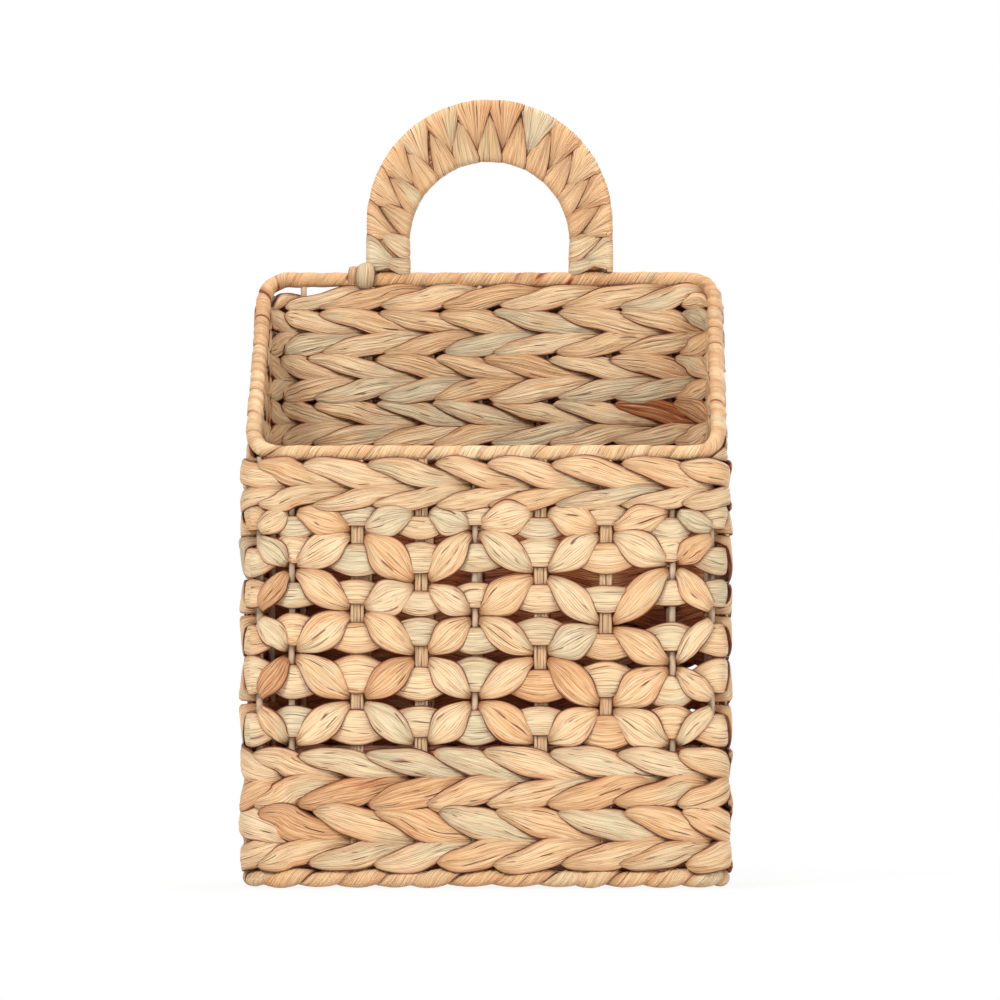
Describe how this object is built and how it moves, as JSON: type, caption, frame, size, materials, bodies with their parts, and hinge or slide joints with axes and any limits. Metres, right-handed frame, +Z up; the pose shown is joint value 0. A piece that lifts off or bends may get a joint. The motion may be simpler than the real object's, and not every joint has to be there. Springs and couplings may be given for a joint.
{
  "type": "wall basket",
  "caption": "Tall leaf-woven wall basket on a wire frame, with a high back, sloping sides, lattice band and an arched wrapped handle.",
  "frame": {"origin": "centre of the footprint, on the surface that the base ring stands on", "axes": "+Z up, the low front faces -Y and the high back with the handle is at +Y, +X to the right seen from the front"},
  "size_m": [0.2492, 0.1212, 0.4113],
  "materials": {
    "painted_wire": "satin beige paint on steel wire",
    "fibre_stake_leaf": "dry leaf fibre, drawn tight and glossy on the ridges",
    "twined_leaf": "dried hyacinth leaf, creased, matte with faint sheen",
    "level_leaf": "dried hyacinth leaf, flat, fine lengthwise ridges",
    "zigzag_leaf": "dried hyacinth leaf, flat, honey edges",
    "rim_leaf": "thin leaf strip wound close, smooth and pale",
    "base_ring_leaf": "leaf strip wound on the slant, honey edges",
    "handle_leaf": "flat leaf strip, creased where it crosses",
    "base_leaf": "flat leaf strands, matte"
  },
  "bodies": {
    "root": {"back_fibre_stake_2": "fibre_stake_leaf", "back_fibre_stake_3": "fibre_stake_leaf", "back_fibre_stake_5": "fibre_stake_leaf", "back_fibre_stake_6": "fibre_stake_leaf", "back_left_corner_wire": "painted_wire", "back_right_corner_wire": "painted_wire", "back_row_1": "twined_leaf", "back_row_2": "twined_leaf", "back_row_3": "twined_leaf", "back_row_4": "twined_leaf", "back_row_5": "twined_leaf", "back_row_6": "twined_leaf", "back_row_7": "twined_leaf", "back_row_8": "twined_leaf", "back_wire_stake_1": "painted_wire", "back_wire_stake_4": "painted_wire", "back_wire_stake_7": "painted_wire", "base_ring_wire": "painted_wire", "base_ring_wrap": "base_ring_leaf", "base_warp": "base_leaf", "base_weft": "base_leaf", "front_fibre_stake_2": "fibre_stake_leaf", "front_fibre_stake_3": "fibre_stake_leaf", "front_fibre_stake_5": "fibre_stake_leaf", "front_fibre_stake_6": "fibre_stake_leaf", "front_left_corner_wire": "painted_wire", "front_right_corner_wire": "painted_wire", "front_wire_stake_1": "painted_wire", "front_wire_stake_4": "painted_wire", "front_wire_stake_7": "painted_wire", "handle_inner_wire": "painted_wire", "handle_outer_wire": "painted_wire", "handle_wrap": "handle_leaf", "left_fibre_stake_1": "fibre_stake_leaf", "left_fibre_stake_2": "fibre_stake_leaf", "left_fibre_stake_3": "fibre_stake_leaf", "left_handle_knot": "handle_leaf", "level_strand_1": "level_leaf", "level_strand_2": "level_leaf", "level_strand_3": "level_leaf", "level_strand_4": "level_leaf", "level_strand_5": "level_leaf", "level_strand_6": "level_leaf", "lower_row_1": "twined_leaf", "lower_row_2": "twined_leaf", "lower_row_3": "twined_leaf", "lower_row_4": "twined_leaf", "right_fibre_stake_1": "fibre_stake_leaf", "right_fibre_stake_2": "fibre_stake_leaf", "right_fibre_stake_3": "fibre_stake_leaf", "rim_wire": "painted_wire", "rim_wrap": "rim_leaf", "upper_row_1": "twined_leaf", "upper_row_2": "twined_leaf", "zigzag_strand_1": "zigzag_leaf", "zigzag_strand_2": "zigzag_leaf", "zigzag_strand_3": "zigzag_leaf", "zigzag_strand_4": "zigzag_leaf", "zigzag_strand_5": "zigzag_leaf", "zigzag_strand_6": "zigzag_leaf"}
  },
  "joints": []
}
